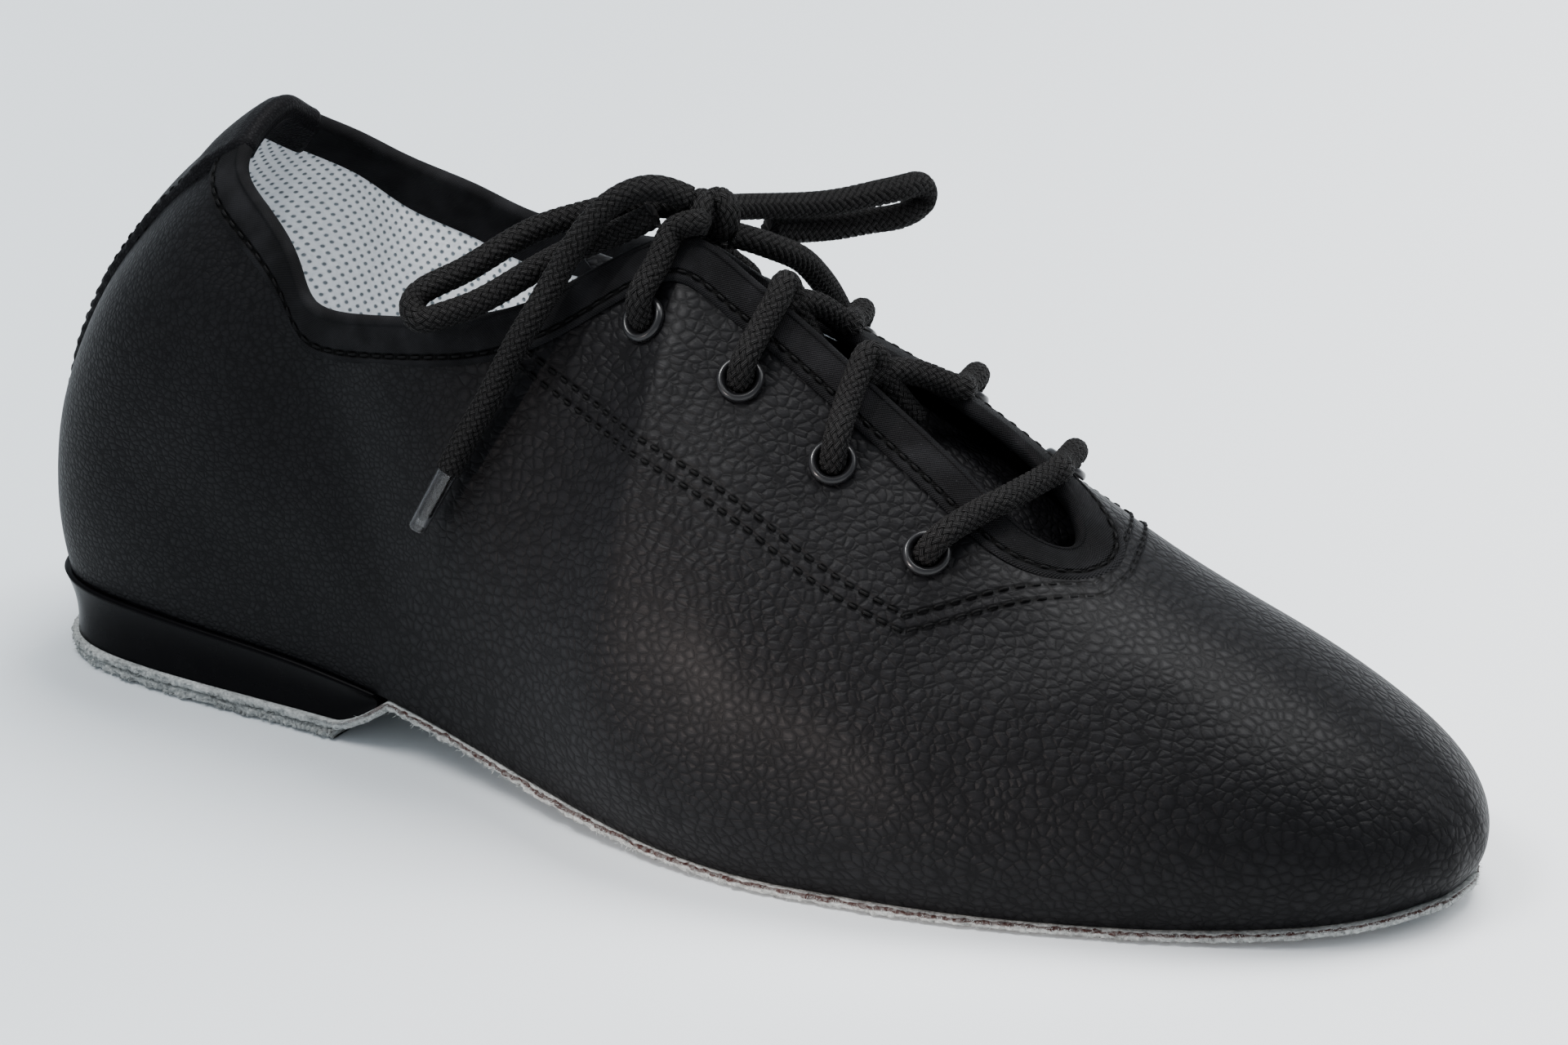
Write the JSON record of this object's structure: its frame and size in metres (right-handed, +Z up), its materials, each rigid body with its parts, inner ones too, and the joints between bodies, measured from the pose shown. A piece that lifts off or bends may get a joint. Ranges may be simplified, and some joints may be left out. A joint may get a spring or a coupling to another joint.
{
  "type": "jazz shoe",
  "caption": "Low lace-up jazz shoe for the right foot: soft black leather upper with a bound collar and open throat, tied laces, a low rubber heel block and a thin suede sole",
  "frame": {"origin": "on the floor, under the middle of the heel's flat bottom", "axes": "+X points to the toe, +Y to the inner side of the foot, +Z up"},
  "size_m": [0.2712, 0.0906, 0.1054],
  "materials": {
    "black_leather": "soft pebbled black leather with a low sheen",
    "backstay_leather": "smooth black leather strip",
    "tongue_leather": "thin black leather",
    "black_tape": "woven black edge tape",
    "grey_suede": "pale grey suede, napped and frayed at its edge",
    "black_rubber": "smooth black rubber",
    "white_sock": "white perforated lining",
    "black_metal": "glossy black enamel",
    "black_lace": "round braided cord",
    "clear_tip": "clear plastic sleeve"
  },
  "bodies": {
    "root": {"outsole": "grey_suede", "heel": "black_rubber", "heel_lift": "grey_suede", "insole": "white_sock", "upper": "black_leather", "collar_binding": "black_tape", "backstay": "backstay_leather", "tongue": "tongue_leather", "eyelet_outer_1": "black_metal", "eyelet_outer_2": "black_metal", "eyelet_outer_3": "black_metal", "eyelet_outer_4": "black_metal", "eyelet_inner_1": "black_metal", "eyelet_inner_2": "black_metal", "eyelet_inner_3": "black_metal", "eyelet_inner_4": "black_metal", "lace_top_outer": "black_lace", "lace_top_inner": "black_lace", "lace_row_2": "black_lace", "lace_row_3": "black_lace", "lace_row_4": "black_lace", "knot": "black_lace", "loop_outer": "black_lace", "loop_inner": "black_lace", "end_outer": "black_lace", "end_inner": "black_lace", "aglet_outer": "clear_tip", "aglet_inner": "clear_tip"}
  },
  "joints": []
}
